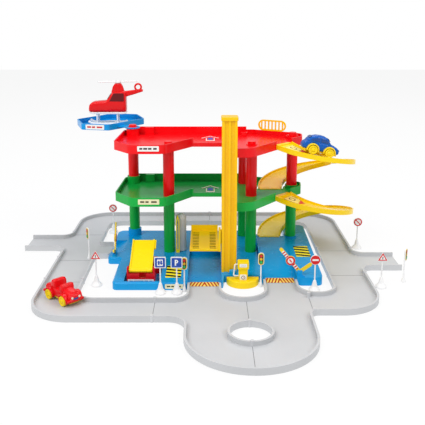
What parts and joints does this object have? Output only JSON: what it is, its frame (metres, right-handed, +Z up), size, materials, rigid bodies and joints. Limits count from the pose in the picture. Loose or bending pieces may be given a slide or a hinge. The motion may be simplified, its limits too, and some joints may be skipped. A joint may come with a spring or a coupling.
{
  "type": "toy parking garage with lift",
  "caption": "Toy parking garage with parking decks, a car lift, winding ramps, a helicopter pad, a service bay, road signs and small cars on a ring road.",
  "frame": {"origin": "on the floor under the lift bay of the base plate, in the plane that every road piece rests on", "axes": "+X to the right seen from the front, +Y to the rear, +Z up"},
  "size_m": [0.962, 0.9365, 0.437],
  "materials": {
    "road_grey": "moulded road grey plastic",
    "clip_white": "moulded clip white plastic",
    "deck_green": "moulded deck green plastic",
    "deck_red": "moulded deck red plastic",
    "base_blue": "moulded base blue plastic",
    "ramp_yellow": "moulded ramp yellow plastic",
    "tower_yellow": "moulded tower yellow plastic",
    "lift_yellow": "moulded lift yellow plastic",
    "pad_blue": "moulded pad blue plastic",
    "helicopter_red": "moulded helicopter red plastic",
    "helicopter_white": "moulded helicopter white plastic",
    "service_red": "moulded service red plastic",
    "service_yellow": "moulded service yellow plastic",
    "brush_grey": "moulded brush grey plastic",
    "barrier_arm": "moulded barrier arm plastic",
    "pump_yellow": "moulded pump yellow plastic",
    "pump_hose": "moulded pump hose plastic",
    "sign_white": "moulded sign white plastic",
    "car_red": "moulded car red plastic",
    "car_yellow": "moulded car yellow plastic",
    "car_blue": "moulded car blue plastic",
    "car_grey": "moulded car grey plastic"
  },
  "bodies": {
    "garage": {"barrier_left_bracket": "base_blue", "barrier_right_bracket": "base_blue", "base_plate": "base_blue", "deck_lower": "deck_green", "deck_upper": "deck_red", "guard_rail": "ramp_yellow", "helipad": "pad_blue", "lift_tower": "tower_yellow", "lift_tower_cap": "tower_yellow", "post_caps": "deck_red", "post_lower_left_front": "deck_green", "post_lower_left_rear": "deck_green", "post_lower_middle_rear": "deck_green", "post_lower_right_front": "deck_green", "post_lower_right_rear": "deck_green", "post_upper_left_front": "deck_red", "post_upper_left_rear": "deck_red", "post_upper_middle_rear": "deck_red", "post_upper_right_front": "deck_red", "post_upper_right_rear": "deck_red", "pump_body": "pump_yellow", "pump_island": "pump_yellow", "pump_nozzle": "pump_hose", "ramp_lower": "ramp_yellow", "ramp_upper": "ramp_yellow", "round_signs": "sign_white", "service_frame": "service_red", "square_signs": "sign_white", "track_circus_left": "road_grey", "track_circus_right": "road_grey", "track_clips": "clip_white", "track_front_left_corner": "road_grey", "track_front_right_corner": "road_grey", "track_left_junction": "road_grey", "track_left_straight": "road_grey", "track_rear_left": "road_grey", "track_rear_left_corner": "road_grey", "track_rear_right": "road_grey", "track_rear_right_corner": "road_grey", "track_right_junction": "road_grey", "traffic_lights": "sign_white", "triangle_signs": "sign_white", "wash_marker": "service_yellow"},
    "lift": {"lift_carriage": "lift_yellow", "lift_platform": "lift_yellow"},
    "helicopter": {"helicopter_body": "helicopter_red", "helicopter_undercarriage": "helicopter_white"},
    "rotor": {"helicopter_rotor": "helicopter_white"},
    "service_platform": {"service_platform": "service_yellow"},
    "wash_brush": {"wash_brush": "brush_grey"},
    "right_barrier": {"barrier_right_arm": "barrier_arm"},
    "left_barrier": {"barrier_left_arm": "barrier_arm"},
    "red_car": {"red_car_body": "car_red", "red_car_chassis": "car_yellow"},
    "red_car_front_axle": {"red_car_front_wheels": "car_yellow"},
    "red_car_rear_axle": {"red_car_rear_wheels": "car_yellow"},
    "blue_car": {"blue_car_body": "car_blue", "blue_car_chassis": "car_grey"},
    "blue_car_front_axle": {"blue_car_front_wheels": "car_grey"},
    "blue_car_rear_axle": {"blue_car_rear_wheels": "car_grey"}
  },
  "joints": [
    {"name": "lift_slide", "type": "slide", "parent": "garage", "child": "lift", "axis": [0, 0, 1], "range_m": [-0.0625, 0.225]},
    {"name": "helicopter_lift", "type": "slide", "parent": "garage", "child": "helicopter", "axis": [0, 0, 1], "range_m": [0, 0.12]},
    {"name": "rotor_spin", "type": "hinge", "parent": "helicopter", "child": "rotor", "pos_m": [-0.257, 0.23, 0.43], "axis": [0, 0, 1], "continuous": true},
    {"name": "service_tilt", "type": "hinge", "parent": "garage", "child": "service_platform", "pos_m": [-0.165, -0.158, 0.038], "axis": [1, 0, 0], "range_deg": [-26, 0]},
    {"name": "brush_spin", "type": "hinge", "parent": "garage", "child": "wash_brush", "pos_m": [-0.079, 0.03, 0.06], "axis": [0, 0, 1], "continuous": true},
    {"name": "right_barrier_swing", "type": "hinge", "parent": "garage", "child": "right_barrier", "pos_m": [0.203, -0.15, 0.03], "axis": [0, 1, 0], "range_deg": [-51, 35]},
    {"name": "left_barrier_swing", "type": "hinge", "parent": "garage", "child": "left_barrier", "pos_m": [-0.246, -0.002, 0.0255], "axis": [1, 0, 0], "range_deg": [-66, 20]},
    {"name": "red_car_roll", "type": "slide", "parent": "garage", "child": "red_car", "axis": [0.7071, -0.7071, 0], "range_m": [-0.005, 0.04]},
    {"name": "red_car_front_wheels_spin", "type": "hinge", "parent": "red_car", "child": "red_car_front_axle", "pos_m": [-0.30691, -0.26709, 0.0153], "axis": [0.7071, 0.7071, 0], "continuous": true},
    {"name": "red_car_rear_wheels_spin", "type": "hinge", "parent": "red_car", "child": "red_car_rear_axle", "pos_m": [-0.34509, -0.22891, 0.0153], "axis": [0.7071, 0.7071, 0], "continuous": true},
    {"name": "blue_car_roll", "type": "slide", "parent": "garage", "child": "blue_car", "axis": [0.9598, 0.135, -0.246], "range_m": [-0.006, 0.006]},
    {"name": "blue_car_front_wheels_spin", "type": "hinge", "parent": "blue_car", "child": "blue_car_front_axle", "pos_m": [0.28331, 0.00028, 0.28268], "axis": [-0.139, 0.9903, 0], "continuous": true},
    {"name": "blue_car_rear_wheels_spin", "type": "hinge", "parent": "blue_car", "child": "blue_car_rear_axle", "pos_m": [0.24204, -0.00552, 0.29325], "axis": [-0.139, 0.9903, 0], "continuous": true}
  ],
  "couplings": [
    {"joint": "red_car_front_wheels_spin", "follows": "red_car_roll", "rad_per_m": 90.909},
    {"joint": "red_car_rear_wheels_spin", "follows": "red_car_roll", "rad_per_m": 90.909},
    {"joint": "blue_car_front_wheels_spin", "follows": "blue_car_roll", "rad_per_m": 90.909},
    {"joint": "blue_car_rear_wheels_spin", "follows": "blue_car_roll", "rad_per_m": 90.909}
  ]
}
